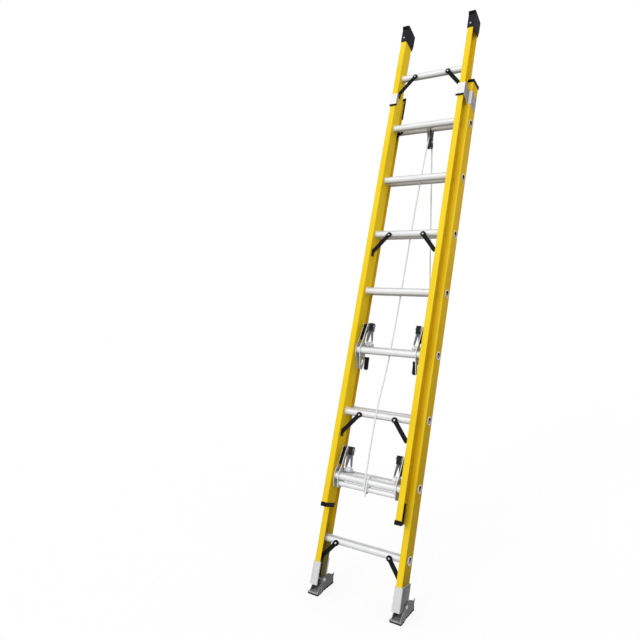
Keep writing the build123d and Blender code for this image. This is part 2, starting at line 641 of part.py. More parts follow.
# Hook: a forked arm whose foot swings back over the base's rung, clear of the rungs' path as drawn
def hook():
    toe = asin((BASE_RUNG_Y - RUNG_R - HOOK_CLEAR - HOOK_PIN_BACK) / HOOK_R)
    heel = radians(-HOOK_HEEL_DEG)
    wedge = [(0, 0)] + [(2 * HOOK_R * sin(a), -2 * HOOK_R * cos(a)) for a in (heel, 0, toe)]
    foot = (Circle(HOOK_R) - Circle(HOOK_R - HOOK_FOOT_T)) & make_face(Polyline(*wedge, close=True))
    root = -(HOOK_R - HOOK_FOOT_T / 2)
    half = HOOK_ARM_W / 2
    arm = make_face(Polyline((-half, 0), (half, 0), (half, root), (-half, root), close=True))
    profile = foot + arm + Circle(HOOK_BOSS_R) - Circle(HOOK_PIN_R + PIVOT_GAP)
    body = extrude(Plane.YZ.offset(HOOK_X0) * profile, amount=HOOK_FOOT_W, dir=(1, 0, 0))
    mid = HOOK_MID
    head = HOOK_HEAD_W / 2
    wide = HOOK_FOOT_W / 2
    knee = -HOOK_CAP_DOWN
    base = root + HOOK_FOOT_T
    outer = [(mid - head, HOOK_R), (mid - head, knee), (mid - wide, root), (mid - wide, -2 * HOOK_R),
             (mid + wide, -2 * HOOK_R), (mid + wide, root), (mid + head, knee), (mid + head, HOOK_R)]
    window = [(mid, knee), (mid - wide + HOOK_LEG_W, base), (mid + wide - HOOK_LEG_W, base)]
    body &= front_plate(outer, -HOOK_R, HOOK_R)
    body -= front_plate(window, -HOOK_R, HOOK_R)
    return Pos(0, HOOK_PIN_BACK, HOOK_PIN_UP) * body


def hook_cap():
    half = HOOK_ARM_W / 2
    wide = HOOK_BOSS_R + HOOK_CAP_T
    low = -HOOK_CAP_DOWN
    clip = make_face(Polyline((-wide, low), (wide, low), (wide, wide), (-wide, wide), close=True))
    clip = fillet(clip.vertices().sort_by(Axis.Y)[-2:], HOOK_CAP_T)
    clip -= Circle(HOOK_BOSS_R) + Pos(0, -HOOK_CAP_DOWN / 2) * Rectangle(2 * half, HOOK_CAP_DOWN)
    cap = extrude(Plane.YZ.offset(HOOK_MID - HOOK_HEAD_W / 2) * clip, amount=HOOK_HEAD_W, dir=(1, 0, 0))
    return Pos(0, HOOK_PIN_BACK, HOOK_PIN_UP) * cap


def flipper():
    half = FLIPPER_W / 2
    mid = (FLIPPER_X0 + FLIPPER_X1) / 2
    knee = FLIPPER_TAPER - FLIPPER_L
    narrow = half - FLIPPER_TAPER
    leaf = front_plate(
        [(mid - half, 0), (mid + half, 0), (mid + half, knee), (mid + narrow, -FLIPPER_L),
         (mid - narrow, -FLIPPER_L), (mid - half, knee)], -FLIPPER_T / 2, FLIPPER_T / 2)
    body = leaf + x_rod(FLIPPER_PIN_R + FLIPPER_BARREL, FLIPPER_X0, FLIPPER_X1, 0, 0)
    body -= x_rod(FLIPPER_PIN_R + PIVOT_GAP, FLIPPER_X0, FLIPPER_X1, 0, 0)
    return Pos(0, FLIPPER_PIN_BACK, -FLIPPER_PIN_DOWN) * Rot(FLIPPER_HANG_DEG, 0, 0) * body


def hook_pin():
    return x_rod(HOOK_PIN_R, HOOK_X0 - 2, PLATE_OUT, HOOK_PIN_BACK, HOOK_PIN_UP)


def flipper_pin():
    return x_rod(FLIPPER_PIN_R, FLIPPER_X0 - 2, PLATE_OUT, FLIPPER_PIN_BACK, -FLIPPER_PIN_DOWN)


# Torsion spring: quarter turns joined by biarcs, with a straight leg at each end
def biarc(p0, t0, p1, t1):
    chord = p1 - p0
    a = 2 * (1 - t0.dot(t1))
    b = 2 * chord.dot(t0 + t1)
    reach = (-b + sqrt(b * b + 4 * a * chord.dot(chord))) / (2 * a)
    lead = p0 + t0 * reach
    trail = p1 - t1 * reach
    mid = (lead + trail) * 0.5
    return [TangentArc(p0, mid, tangent=t0), TangentArc(mid, p1, tangent=(trail - lead).normalized())]


def spring():
    quarters = 4 * SPRING_TURNS
    points = []
    tangents = []
    for i in range(quarters + 1):
        a = pi + pi / 2 * i
        points.append(Vector(SPRING_X1 - SPRING_PITCH * i / 4, SPRING_R * cos(a), SPRING_R * sin(a)))
        tangents.append(Vector(-SPRING_PITCH / (2 * pi), -SPRING_R * sin(a), SPRING_R * cos(a)).normalized())
    path = [Line(points[0] - tangents[0] * SPRING_LEG, points[0])]
    for i in range(quarters):
        path += biarc(points[i], tangents[i], points[i + 1], tangents[i + 1])
    path.append(Line(points[-1], points[-1] + tangents[-1] * SPRING_LEG))
    start = Plane(origin=path[0] @ 0, z_dir=tangents[0])
    wire = sweep(start * RegularPolygon(SPRING_WIRE / 2, 6), path=Wire(path))
    print("spring gap between turns", round(SPRING_PITCH - SPRING_WIRE, 2))
    return Pos(0, HOOK_PIN_BACK, HOOK_PIN_UP) * wire


lock_levels = (
    ("lower", [tied_plate(PLATE_OUT), tied_plate(PLATE_IN)], [hook_pin()]),
    ("upper", [long_plate(PLATE_OUT), long_plate(PLATE_IN)], [hook_pin(), flipper_pin()]),
)
plates = []
pins = []
springs = []
housings = []
right_spring = spring()
right_housing = lock_housing()
right_hook = hook()
right_hook_cap = hook_cap()
for (level, right_plates, right_pins), z in zip(lock_levels, FLY_RUNG_Z[::2]):
    at = Pos(0, 0, z)
    plates += [at * p for p in right_plates] + [at * left_of(p) for p in right_plates]
    pins += [at * p for p in right_pins] + [at * left_of(p) for p in right_pins]
    springs += [at * right_spring, at * left_of(right_spring)]
    housings += [at * right_housing, at * left_of(right_housing)]
    pair(f"{level}_hook", at * right_hook)
    pair(f"{level}_hook_cap", at * right_hook_cap)
    if level == "upper":
        pair("upper_flipper", at * flipper())
pieces["lock_plates"] = group(plates)
pieces["lock_pins"] = group(pins)
pieces["lock_springs"] = group(springs)
pieces["lock_housings"] = group(housings)
tie_bar = x_rod(TIE_BAR_R, -PLATE_IN + LOCK_PLATE_T, PLATE_IN - LOCK_PLATE_T, FLY_RUNG_Y, -TIE_BAR_DOWN)
tie_bar -= x_rod(TIE_BAR_R - RUNG_WALL, -PLATE_IN, PLATE_IN, FLY_RUNG_Y, -TIE_BAR_DOWN)
pieces["lock_tie_bar"] = tie_bar


# Pulley: a strap clamped round the base's top rung, hanging plumb, with a housing and a grooved sheave
SHEAVE_Y = BASE_RUNG_Y + PULLEY_HANG * sin(radians(LEAN))
SHEAVE_Z = BASE_RUNG_Z[-1] - PULLEY_HANG * cos(radians(LEAN))
CHEEK_IN = SHEAVE_W / 2 + CHEEK_GAP
CHEEK_OUT = CHEEK_IN + CHEEK_T


def hang(shape):
    return Pos(PULLEY_X, BASE_RUNG_Y, BASE_RUNG_Z[-1]) * Rot(LEAN, 0, 0) * shape


def pulley_strap():
    outer = RUNG_R + FIT_GAP + STRAP_BAND_T
    half = STRAP_BAND_W / 2
    band = x_rod(outer, -half, half, 0, 0)
    band += block(-CHEEK_IN, CHEEK_IN, -STEM_W / 2, STEM_W / 2, -outer - STEM_H, 0)
    band -= x_rod(RUNG_R + FIT_GAP, -half, half, 0, 0)
    return band


def pulley_housing():
    band_r = RUNG_R + FIT_GAP + STRAP_BAND_T
    fork = band_r + CHEEK_T
    crown = -band_r - STEM_H
    low = -PULLEY_HANG - HOUSING_BELOW
    half = CHEEK_W / 2
    corner = HOUSING_CORNER
    cheek = [
        (-half, low + corner), (-half + corner, low), (half - corner, low), (half, low + corner),
        (half, crown - HOUSING_SHOULDER), (fork, -band_r), (fork, 0), (-fork, 0), (-fork, -band_r),
        (-half, crown - HOUSING_SHOULDER),
    ]
    body = side_plate(cheek, CHEEK_IN, CHEEK_OUT) + side_plate(cheek, -CHEEK_OUT, -CHEEK_IN)
    for depth, z in ((HOUSING_BRIDGE, crown - CHEEK_T), (HOUSING_KEEPER, low)):
        body += block(-CHEEK_OUT, CHEEK_OUT, -depth / 2, depth / 2, z, z + CHEEK_T)
    body -= x_rod(band_r + RUN_GAP, -CHEEK_OUT, CHEEK_OUT, 0, 0)
    body -= x_rod(AXLE_R + PIVOT_GAP, -CHEEK_OUT, CHEEK_OUT, 0, -PULLEY_HANG)
    return body


def pulley_sheave():
    half = SHEAVE_W / 2
    bed = ROPE_R + ROPE_GAP
    groove = x_rod(SHEAVE_RIM_R, -bed, bed, 0, 0) - x_rod(SHEAVE_GROOVE_R, -bed, bed, 0, 0)
    wheel = x_rod(SHEAVE_RIM_R, -half, half, 0, 0) - groove - x_rod(AXLE_R + PIVOT_GAP, -half, half, 0, 0)
    return Pos(0, 0, -PULLEY_HANG) * wheel


def pulley_axle():
    axle = x_rod(AXLE_R, -CHEEK_OUT, CHEEK_OUT, 0, -PULLEY_HANG)
    for x0, x1 in ((-CHEEK_OUT - 2.5, -CHEEK_OUT), (CHEEK_OUT, CHEEK_OUT + 2.5)):
        axle += x_rod(AXLE_R + 2.5, x0, x1, 0, -PULLEY_HANG)
    return axle


pieces["pulley_strap"] = hang(pulley_strap())
pieces["pulley_housing"] = hang(pulley_housing())
pieces["pulley_sheave"] = hang(pulley_sheave())
pieces["pulley_axle"] = hang(pulley_axle())


# Rope: a tight strand from the pulley to the fly's bottom rung, behind the upper rungs and before the second
BEND_SHARE = 0.45
ROPE_REACH = SHEAVE_GROOVE_R + ROPE_R + ROPE_GAP
TIE_FRONT = FLY_RUNG_Y - RUNG_R - ROPE_R - ROPE_GAP
BETWEEN_Y = (FLY_RUNG_Y + BASE_RUNG_Y) / 2
STRAND_END_Z = RUNG_R
STRAND_ROUTE = [
    (PULLEY_X, BETWEEN_Y + 3, 1535),
    (-3, BETWEEN_Y - 1, 600),
    (-6, TIE_FRONT - 6, 322),
    (-6, TIE_FRONT, STRAND_END_Z),
]
first_y = STRAND_ROUTE[0][1] - SHEAVE_Y
first_z = STRAND_ROUTE[0][2] - SHEAVE_Z
front_turn = atan2(first_z, first_y) - acos(ROPE_REACH / hypot(first_y, first_z))
FRONT_OFF = (SHEAVE_Y + ROPE_REACH * cos(front_turn), SHEAVE_Z + ROPE_REACH * sin(front_turn))
BACK_OFF = (SHEAVE_Y + ROPE_REACH * cos(radians(LEAN)), SHEAVE_Z + ROPE_REACH * sin(radians(LEAN)))


def bend_radii(points):
    radii = []
    for before, at, after in zip(points, points[1:], points[2:]):
        turn = (at - before).get_angle(after - at)
        shorter = min((at - before).length, (after - at).length)
        radii.append(BEND_SHARE * shorter / abs(sin(radians(turn / 2)) / cos(radians(turn / 2))))
    return radii


def tube(path, length, name):
    section = Plane(origin=path @ 0, z_dir=path % 0) * RegularPolygon(ROPE_R, ROPE_SIDES)
    solid = sweep(section, path=path)
    print(name, "volume ratio", round(solid.volume / (section.area * length), 4))
    return solid


strand_points = [Vector(PULLEY_X, *FRONT_OFF)] + [Vector(*p) for p in STRAND_ROUTE]
radii = bend_radii(strand_points)
print("strand radii", [round(r) for r in radii])
strand_path = FilletPolyline(*strand_points, radius=radii)
pieces["rope_strand"] = tube(strand_path, strand_path.length, "strand")

crest = radians((degrees(front_turn) % 360 + LEAN) / 2)
over = ThreePointArc(
    (PULLEY_X, *FRONT_OFF),
    (PULLEY_X, SHEAVE_Y + ROPE_REACH * cos(crest), SHEAVE_Z + ROPE_REACH * sin(crest)),
    (PULLEY_X, *BACK_OFF))
TAIL_END = (BACK_OFF[0] + TAIL_LENGTH * sin(radians(LEAN)), BACK_OFF[1] - TAIL_LENGTH * cos(radians(LEAN)))
drop = Line((PULLEY_X, *BACK_OFF), (PULLEY_X, *TAIL_END))
tail_path = Wire([over, drop])
tail = tube(tail_path, over.length + drop.length, "tail")
knot = Pos(PULLEY_X, *TAIL_END) * Rot(LEAN, 0, 0) * fillet(Cylinder(KNOT_R, KNOT_L).edges(), KNOT_R * 0.6)
pieces["rope_tail"] = tail + knot

tie_half = RUNG_R + ROPE_R + ROPE_GAP
tie_front = FLY_RUNG_Y - tie_half
tie_back = FLY_RUNG_Y + tie_half
tie_low = -TIE_BAR_DOWN - TIE_BAR_R - ROPE_R - 1
tie_high = tie_half + 1
tie_points = [
    (-6, tie_front, STRAND_END_Z - ROPE_GAP), (-6, tie_front, tie_low), (-2, tie_back, tie_low),
    (1, tie_back, tie_high), (5, tie_front, tie_high), (5, tie_front, tie_low - TIE_TAIL),
]
tie_path = FilletPolyline(*tie_points, radius=tie_half * 0.85)
pieces["rope_tie"] = tube(tie_path, tie_path.length, "tie")


# Stand the ladder up: lean it back, set the soles on the floor and centre its box over the origin
def lean_back(shape):
    return Rot(-LEAN, 0, 0) * shape


leaning = {name: lean_back(shape) for name, shape in pieces.items()}
boxes = [shape.bounding_box() for shape in leaning.values()]
SHIFT = Vector(
    -(min(b.min.X for b in boxes) + max(b.max.X for b in boxes)) / 2,
    -(min(b.min.Y for b in boxes) + max(b.max.Y for b in boxes)) / 2,
    -min(b.min.Z for b in boxes))
print("shift", round(SHIFT.X, 3), round(SHIFT.Y, 3), round(SHIFT.Z, 3))
os.makedirs("parts", exist_ok=True)
for name, shape in leaning.items():
    export_step(Pos(SHIFT) * shape, f"parts/{name}.step")
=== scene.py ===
import math

import bmesh
import bpy
from mathutils import Matrix, Vector


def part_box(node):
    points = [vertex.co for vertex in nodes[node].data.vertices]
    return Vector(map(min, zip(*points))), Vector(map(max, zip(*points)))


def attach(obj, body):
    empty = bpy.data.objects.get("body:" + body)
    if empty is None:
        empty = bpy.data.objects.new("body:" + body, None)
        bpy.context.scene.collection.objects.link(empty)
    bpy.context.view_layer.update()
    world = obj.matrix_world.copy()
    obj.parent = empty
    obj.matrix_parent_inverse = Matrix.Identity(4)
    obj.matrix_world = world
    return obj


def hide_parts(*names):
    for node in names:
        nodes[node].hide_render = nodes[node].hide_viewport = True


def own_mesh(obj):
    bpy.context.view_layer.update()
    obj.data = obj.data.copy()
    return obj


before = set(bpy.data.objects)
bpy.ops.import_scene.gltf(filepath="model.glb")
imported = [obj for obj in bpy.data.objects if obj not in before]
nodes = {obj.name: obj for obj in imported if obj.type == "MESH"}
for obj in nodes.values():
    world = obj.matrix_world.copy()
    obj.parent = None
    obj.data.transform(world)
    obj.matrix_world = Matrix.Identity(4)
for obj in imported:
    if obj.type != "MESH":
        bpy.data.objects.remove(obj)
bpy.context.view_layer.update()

# The ladder's own frame: X right, Y back, Z up along the rails, in millimetres from the fly's bottom rung
LEAN = math.radians(18.5)
RAIL_DEPTH = 75.0
RUNGS = 8
RUNG_PITCH = 304.8
FLY_RUNG_Y = RAIL_DEPTH / 2
TURN = Matrix.Rotation(-LEAN, 3, "X")
rung_low, rung_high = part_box("fly_rung_1")
ORIGIN = (Vector(rung_low) + Vector(rung_high)) / 2 - TURN @ Vector((0, FLY_RUNG_Y, 0)) / 1000


def at(x, y, z):
    return ORIGIN + TURN @ Vector((x, y, z)) / 1000


def new_object(name, data):
    thing = bpy.data.objects.new(name, data)
    bpy.context.scene.collection.objects.link(thing)
    return thing


def object_from(mesh, name):
    bmesh.ops.recalc_face_normals(mesh, faces=mesh.faces)
    data = bpy.data.meshes.new(name)
    mesh.to_mesh(data)
    mesh.free()
    return new_object(name, data)


# Camera, fitted to the photograph: its right, down and forward directions in the ladder's frame
CAMERA_AT = (1317.69, -2565.16, 148.68)
CAMERA_RIGHT = (0.83589869, 0.51864825, 0.17965906)
CAMERA_DOWN = (0.03105825, 0.28209937, -0.95888233)
CAMERA_FORWARD = (-0.54800436, 0.80710837, 0.21969819)
FRAME_PX = 640
FOCAL_PX = 607.9
CENTRE_ROW_PX = 300
SENSOR_MM = 36.0
FARTHEST = 100


def make_camera():
    data = bpy.data.cameras.new("camera")
    data.sensor_width = SENSOR_MM
    data.lens = SENSOR_MM * FOCAL_PX / FRAME_PX
    data.shift_y = (CENTRE_ROW_PX - FRAME_PX / 2) / FRAME_PX
    data.clip_end = FARTHEST
    camera = new_object("camera", data)
    axes = (Vector(CAMERA_RIGHT), -Vector(CAMERA_DOWN), -Vector(CAMERA_FORWARD))
    spin = Matrix([TURN @ a for a in axes]).transposed()
    camera.matrix_world = Matrix.Translation(at(*CAMERA_AT)) @ spin.to_4x4()
    bpy.context.scene.camera = camera


make_camera()


# Node material helpers: a face counts as sideways from SIDE_FROM, and fully from SIDE_FULL
BLACK = (0, 0, 0)
WHITE = (1, 1, 1)
SIDE_FROM = 0.5
SIDE_FULL = 0.8
NOISE_LOW = 0.3
NOISE_HIGH = 0.7


def linear(red, green, blue):
    return [((c / 255 + 0.055) / 1.055) ** 2.4 if c > 10 else c / 255 / 12.92 for c in (red, green, blue)]


def scaled(tone, factor):
    return [c * factor for c in tone]


class Paint:
    """A Principled material with small helpers for the nodes that feed it."""

    def __init__(self, name, metallic, roughness, specular):
        self.mat = bpy.data.materials.new(name)
        self.mat.use_nodes = True
        self.tree = self.mat.node_tree
        self.shader = self.tree.nodes["Principled BSDF"]
        self.shader.inputs["Metallic"].default_value = metallic
        self.shader.inputs["Roughness"].default_value = roughness
        self.shader.inputs["Specular IOR Level"].default_value = specular

    def add(self, kind, **values):
        node = self.tree.nodes.new(kind)
        for key, value in values.items():
            setattr(node, key, value)
        return node

    def link(self, source, target):
        self.tree.links.new(source, target)

    def place(self, scale, along_rails=False):
        where = self.add("ShaderNodeTexCoord")
        turn = self.add("ShaderNodeMapping")
        turn.inputs["Rotation"].default_value = (LEAN if along_rails else 0, 0, 0)
        stretch = self.add("ShaderNodeMapping")
        stretch.inputs["Scale"].default_value = scale
        self.link(where.outputs["Object"], turn.inputs["Vector"])
        self.link(turn.outputs["Vector"], stretch.inputs["Vector"])
        return stretch.outputs["Vector"]

    def noise(self, scale, detail, along_rails=False):
        node = self.add("ShaderNodeTexNoise")
        node.inputs["Scale"].default_value = 1.0
        node.inputs["Detail"].default_value = detail
        self.link(self.place(scale, along_rails), node.inputs["Vector"])
        return node.outputs["Fac"]

    def parts_of(self, vector):
        split = self.add("ShaderNodeSeparateXYZ")
        self.link(vector, split.inputs["Vector"])
        return split.outputs

    def coordinate(self, kind):
        return self.add("ShaderNodeTexCoord").outputs[kind]

    def unsigned(self, vector):
        node = self.add("ShaderNodeVectorMath", operation="ABSOLUTE")
        self.link(vector, node.inputs[0])
        return node.outputs["Vector"]

    def remap(self, value, from_low, from_high, to_low=0.0, to_high=1.0):
        node = self.add("ShaderNodeMapRange")
        node.inputs["From Min"].default_value = from_low
        node.inputs["From Max"].default_value = from_high
        node.inputs["To Min"].default_value = to_low
        node.inputs["To Max"].default_value = to_high
        self.link(value, node.inputs["Value"])
        return node.outputs["Result"]

    def box_share(self, axis):
        return self.parts_of(self.coordinate("Generated"))[axis]

    def sideways(self):
        return self.parts_of(self.unsigned(self.coordinate("Normal")))["X"]

    def upward(self):
        return self.remap(self.parts_of(self.coordinate("Normal"))["Z"], -1, 1)

    def share_between(self, axis, start, end):
        along = (end - start).normalized()
        value = self.parts_of(self.place((1, 1, 1), along_rails=True))[axis]
        return self.remap(value, along.dot(start), along.dot(end))

    def rail_share(self, z_low, z_high):
        return self.share_between("Z", at(0, 0, z_low), at(0, 0, z_high))

    def depth_share(self, y_low, y_high):
        return self.share_between("Y", at(0, y_low, 0), at(0, y_high, 0))

    def side_share(self, x_low, x_high):
        value = self.parts_of(self.unsigned(self.coordinate("Object")))["X"]
        return self.remap(value, x_low / 1000, x_high / 1000)

    def axis_distance(self):
        centred = self.add("ShaderNodeMapping")
        centred.inputs["Location"].default_value = (0, -0.5, -0.5)
        centred.inputs["Scale"].default_value = (0, 1, 1)
        reach = self.add("ShaderNodeVectorMath", operation="LENGTH")
        self.link(self.coordinate("Generated"), centred.inputs["Vector"])
        self.link(centred.outputs["Vector"], reach.inputs[0])
        return reach.outputs["Value"]

    def ramp(self, factor, stops):
        node = self.add("ShaderNodeValToRGB")
        elements = node.color_ramp.elements
        while len(elements) < len(stops):
            elements.new(0.5)
        for element, (position, colour) in zip(elements, stops):
            element.position = position
            element.color = (*colour, 1)
        self.link(factor, node.inputs["Fac"])
        return node.outputs["Color"]

    def mix(self, factor, first, second, blend="MIX"):
        node = self.add("ShaderNodeMix", data_type="RGBA", blend_type=blend)
        if isinstance(factor, float):
            node.inputs["Factor"].default_value = factor
        else:
            self.link(factor, node.inputs["Factor"])
        self.link(first, node.inputs["A"])
        self.link(second, node.inputs["B"])
        return node.outputs["Result"]

    def multiply(self, first, second):
        return self.mix(1.0, first, second, "MULTIPLY")

    def side_mask(self):
        return self.ramp(self.sideways(), [(SIDE_FROM, BLACK), (SIDE_FULL, WHITE)])

    # Painted shade: faces turned sideways are multiplied by a darker tone
    def shade_sides(self, colour, side_shade):
        return self.multiply(colour, self.ramp(self.sideways(), [(SIDE_FROM, WHITE), (SIDE_FULL, side_shade)]))

    def colour(self, source):
        self.link(source, self.shader.inputs["Base Color"])

    def rough(self, factor, low, high):
        self.link(self.remap(factor, NOISE_LOW, NOISE_HIGH, low, high), self.shader.inputs["Roughness"])

    def bump(self, factor, strength, depth_mm):
        node = self.add("ShaderNodeBump")
        node.inputs["Strength"].default_value = strength
        node.inputs["Distance"].default_value = depth_mm / 1000
        self.link(factor, node.inputs["Height"])
        self.link(node.outputs["Normal"], self.shader.inputs["Normal"])


# Fibreglass: streaked along the rail, darker towards the foot, with painted shade on the side faces and
# inside the base rails' lower ends
BASE_LOW = -495.8
BASE_INNER = 220.2
BASE_OUTER = 225.0
BASE_FRONT = 63.0
DARKENING_TOP = 1200.0
# The flanges turn darker and more golden towards the foot; the side faces carry painted shade, deepest
# towards the foot
FLANGE_FOOT_TONE = [(0.1, (0.93, 0.89, 0.5)), (1.0, WHITE)]
FLY_WEB_SHADE = [(0.15, (0.74, 0.66, 0.2)), (0.4, (0.95, 0.86, 0.3)), (1.0, (1.0, 0.95, 0.36))]
BASE_WEB_SHADE = [
    (0.03, (0.2, 0.18, 0.14)), (0.07, (0.4, 0.36, 0.24)), (0.14, (0.58, 0.5, 0.26)),
    (0.45, (0.66, 0.56, 0.26)), (1.0, (0.85, 0.73, 0.28)),
]


# Painted shade inside the base rails' channel, deepest near the foot
def channel_shade_mask(paint, height):
    inner = paint.ramp(paint.side_share(BASE_INNER, BASE_OUTER), [(0.3, WHITE), (0.6, BLACK)])
    depth = paint.depth_share(BASE_FRONT, BASE_FRONT + RAIL_DEPTH)
    inside = paint.ramp(depth, [(0.045, BLACK), (0.065, WHITE), (0.945, WHITE), (0.975, BLACK)])
    low = paint.ramp(height, [(0.04, (0.95, 0.95, 0.95)), (0.09, (0.6, 0.6, 0.6)), (0.17, BLACK)])
    return paint.multiply(paint.multiply(inner, inside), low)


def fibreglass(name, web_shade):
    paint = Paint(name, metallic=0.0, roughness=0.5, specular=0.04)
    streak = paint.noise((420, 420, 5), detail=5, along_rails=True)
    cloud = paint.noise((14, 14, 4), detail=3, along_rails=True)
    speck = paint.noise((900, 900, 260), detail=2, along_rails=True)
    height = paint.rail_share(BASE_LOW, DARKENING_TOP)
    web = paint.side_mask()
    stripes = [(0.30, linear(236, 198, 26)), (0.52, linear(249, 217, 46)), (0.75, linear(252, 226, 72))]
    wash = paint.ramp(cloud, [(0.35, linear(244, 208, 30)), (0.65, linear(251, 223, 54))])
    tint = paint.mix(0.45, paint.ramp(streak, stripes), wash)
    dark_marks = paint.ramp(speck, [(0.20, linear(190, 150, 40)), (0.30, WHITE)])
    speckled = paint.mix(0.2, tint, dark_marks, "MULTIPLY")
    flange_colour = paint.multiply(speckled, paint.ramp(height, FLANGE_FOOT_TONE))
    web_colour = paint.multiply(speckled, paint.ramp(height, web_shade))
    # Painted shade: the side faces take the darker web tones
    surface_tone = paint.mix(web, flange_colour, web_colour)
    # Painted shade colours for the channel, darker on its side faces
    flange_channel_shade = paint.ramp(cloud, [(0.35, linear(98, 95, 70)), (0.65, linear(154, 149, 110))])
    web_channel_shade = paint.ramp(cloud, [(0.35, linear(30, 26, 10)), (0.65, linear(46, 42, 22))])
    channel_shade = paint.mix(web, flange_channel_shade, web_channel_shade)
    paint.colour(paint.mix(channel_shade_mask(paint, height), surface_tone, channel_shade))
    paint.rough(streak, low=0.42, high=0.6)
    paint.bump(streak, strength=0.25, depth_mm=0.15)
    return paint.mat


# Aluminium: a rung is darker in its grooves, with painted shade on its underside and in its bore, dark above
# and light below
SWAGE_R = 20.0
BORE_R = 15.8
BORE_EDGE_R = 16.0
GROOVE_RADII = (16.2, 16.5, 17.3, 17.7)
GROOVE_TONE = linear(182, 183, 185)


def radius_stops(radii, tones):
    return [(radius / (2 * SWAGE_R), tone) for radius, tone in zip(radii, tones)]


def rung_marks_and_shade(paint, metal_tone):
    reach = paint.axis_distance()
    tilt = paint.upward()
    # Darker in the grooves
    dark_marks = paint.ramp(reach, radius_stops(GROOVE_RADII, (WHITE, GROOVE_TONE, GROOVE_TONE, WHITE)))
    plain_ends = paint.mix(paint.side_mask(), paint.multiply(metal_tone, dark_marks), metal_tone)
    # Painted shade on the underside
    under = paint.ramp(tilt, [(0.06, linear(168, 168, 169)), (0.25, WHITE)])
    # Painted shade in the bore: dark where its wall faces down, light where it faces up
    shade = paint.ramp(tilt, [(0.35, linear(40, 38, 36)), (0.7, linear(236, 234, 230))])
    bore = paint.ramp(reach, radius_stops((BORE_R, BORE_EDGE_R), (WHITE, BLACK)))
    return paint.mix(bore, paint.multiply(plain_ends, under), paint.multiply(plain_ends, shade))


def aluminium(name, tone, metallic, across, grooved=False, side_shade=None, wear=0.86):
    paint = Paint(name, metallic, roughness=0.35, specular=0.3)
    grain = paint.noise(across, detail=5)
    cloud = paint.noise((20, 20, 20), detail=3)
    low = scaled(tone, wear)
    brushed = paint.ramp(grain, [(0.3, low), (0.7, tone)])
    metal_tone = paint.mix(0.4, brushed, paint.ramp(cloud, [(0.35, low), (0.6, tone)]))
    if grooved:
        metal_tone = rung_marks_and_shade(paint, metal_tone)
    # Painted shade on the side faces
    if side_shade:
        metal_tone = paint.shade_sides(metal_tone, side_shade)
    paint.colour(metal_tone)
    paint.rough(grain, low=0.3, high=0.48)
    paint.bump(grain, strength=0.15, depth_mm=0.06)
    return paint.mat


# Black paint, plastic and rubber
SCUFF_SCALE = (60, 60, 60)
SCUFF_DETAIL = 6
LID_LOW = 2425.0
LID_HIGH = 2433.0
LID_TONE = (0.35, 0.35, 0.33)
HOOD_SIDE_SHADE = (0.3, 0.3, 0.36)


def dark_matt(name, tone, roughness, grain_scale, depth_mm):
    paint = Paint(name, metallic=0.0, roughness=roughness, specular=0.08)
    grain = paint.noise((grain_scale,) * 3, detail=3)
    scuff = paint.noise(SCUFF_SCALE, SCUFF_DETAIL)
    high = [c * 1.9 + 0.003 for c in tone]
    paint.colour(paint.ramp(scuff, [(0.45, tone), (0.8, high)]))
    paint.rough(scuff, roughness - 0.1, roughness + 0.1)
    paint.bump(grain, strength=0.3, depth_mm=depth_mm)
    return paint.mat


def hood_plastic():
    paint = Paint("hood_plastic", metallic=0.0, roughness=0.55, specular=0.05)
    grain = paint.noise((900, 900, 900), detail=3)
    scuff = paint.noise(SCUFF_SCALE, SCUFF_DETAIL)
    moulded = paint.ramp(scuff, [(0.4, linear(34, 33, 39)), (0.75, linear(52, 51, 58))])
    lid = paint.ramp(paint.rail_share(LID_LOW, LID_HIGH), [(0.0, WHITE), (0.5, LID_TONE)])
    # Painted shade on the hood's side faces
    paint.colour(paint.shade_sides(paint.multiply(moulded, lid), HOOD_SIDE_SHADE))
    paint.rough(scuff, low=0.4, high=0.6)
    paint.bump(grain, strength=0.3, depth_mm=0.12)
    return paint.mat


def pulley_body():
    paint = Paint("pulley_body", metallic=0.0, roughness=0.5, specular=0.15)
    scuff = paint.noise(SCUFF_SCALE, SCUFF_DETAIL)
    moulded = paint.ramp(scuff, [(0.45, linear(15, 15, 18)), (0.8, linear(30, 30, 33))])
    steel_tone = paint.ramp(scuff, [(0.35, linear(196, 197, 200)), (0.62, linear(226, 227, 230))])
    left = paint.ramp(paint.box_share("X"), [(0.40, WHITE), (0.48, BLACK)])
    upper = paint.ramp(paint.box_share("Z"), [(0.50, BLACK), (0.56, WHITE)])
    paint.colour(paint.mix(paint.multiply(left, upper), moulded, steel_tone))
    paint.rough(scuff, low=0.35, high=0.6)
    paint.bump(scuff, strength=0.2, depth_mm=0.1)
    return paint.mat


# Zinc-plated steel, with stains and, if asked, painted shade along the piece and on the side faces
def zinc(name, tone, metallic, axis=None, stops=(), side_shade=None):
    paint = Paint(name, metallic, roughness=0.4, specular=0.4)
    spangle = paint.add("ShaderNodeTexVoronoi")
    spangle.inputs["Scale"].default_value = 1.0
    paint.link(paint.place((220, 220, 220)), spangle.inputs["Vector"])
    stain = paint.noise((45, 45, 45), detail=6)
    patch = paint.ramp(spangle.outputs["Distance"], [(0.1, tone), (0.8, scaled(tone, 0.78))])
    steel_tone = paint.mix(0.5, patch, paint.ramp(stain, [(0.42, scaled(tone, 0.4)), (0.58, tone)]))
    # Painted shade along the piece
    if axis:
        steel_tone = paint.multiply(steel_tone, paint.ramp(paint.box_share(axis), stops))
    # Painted shade on the side faces
    if side_shade:
        steel_tone = paint.shade_sides(steel_tone, side_shade)
    paint.colour(steel_tone)
    paint.rough(stain, low=0.3, high=0.55)
    paint.bump(stain, strength=0.2, depth_mm=0.1)
    return paint.mat


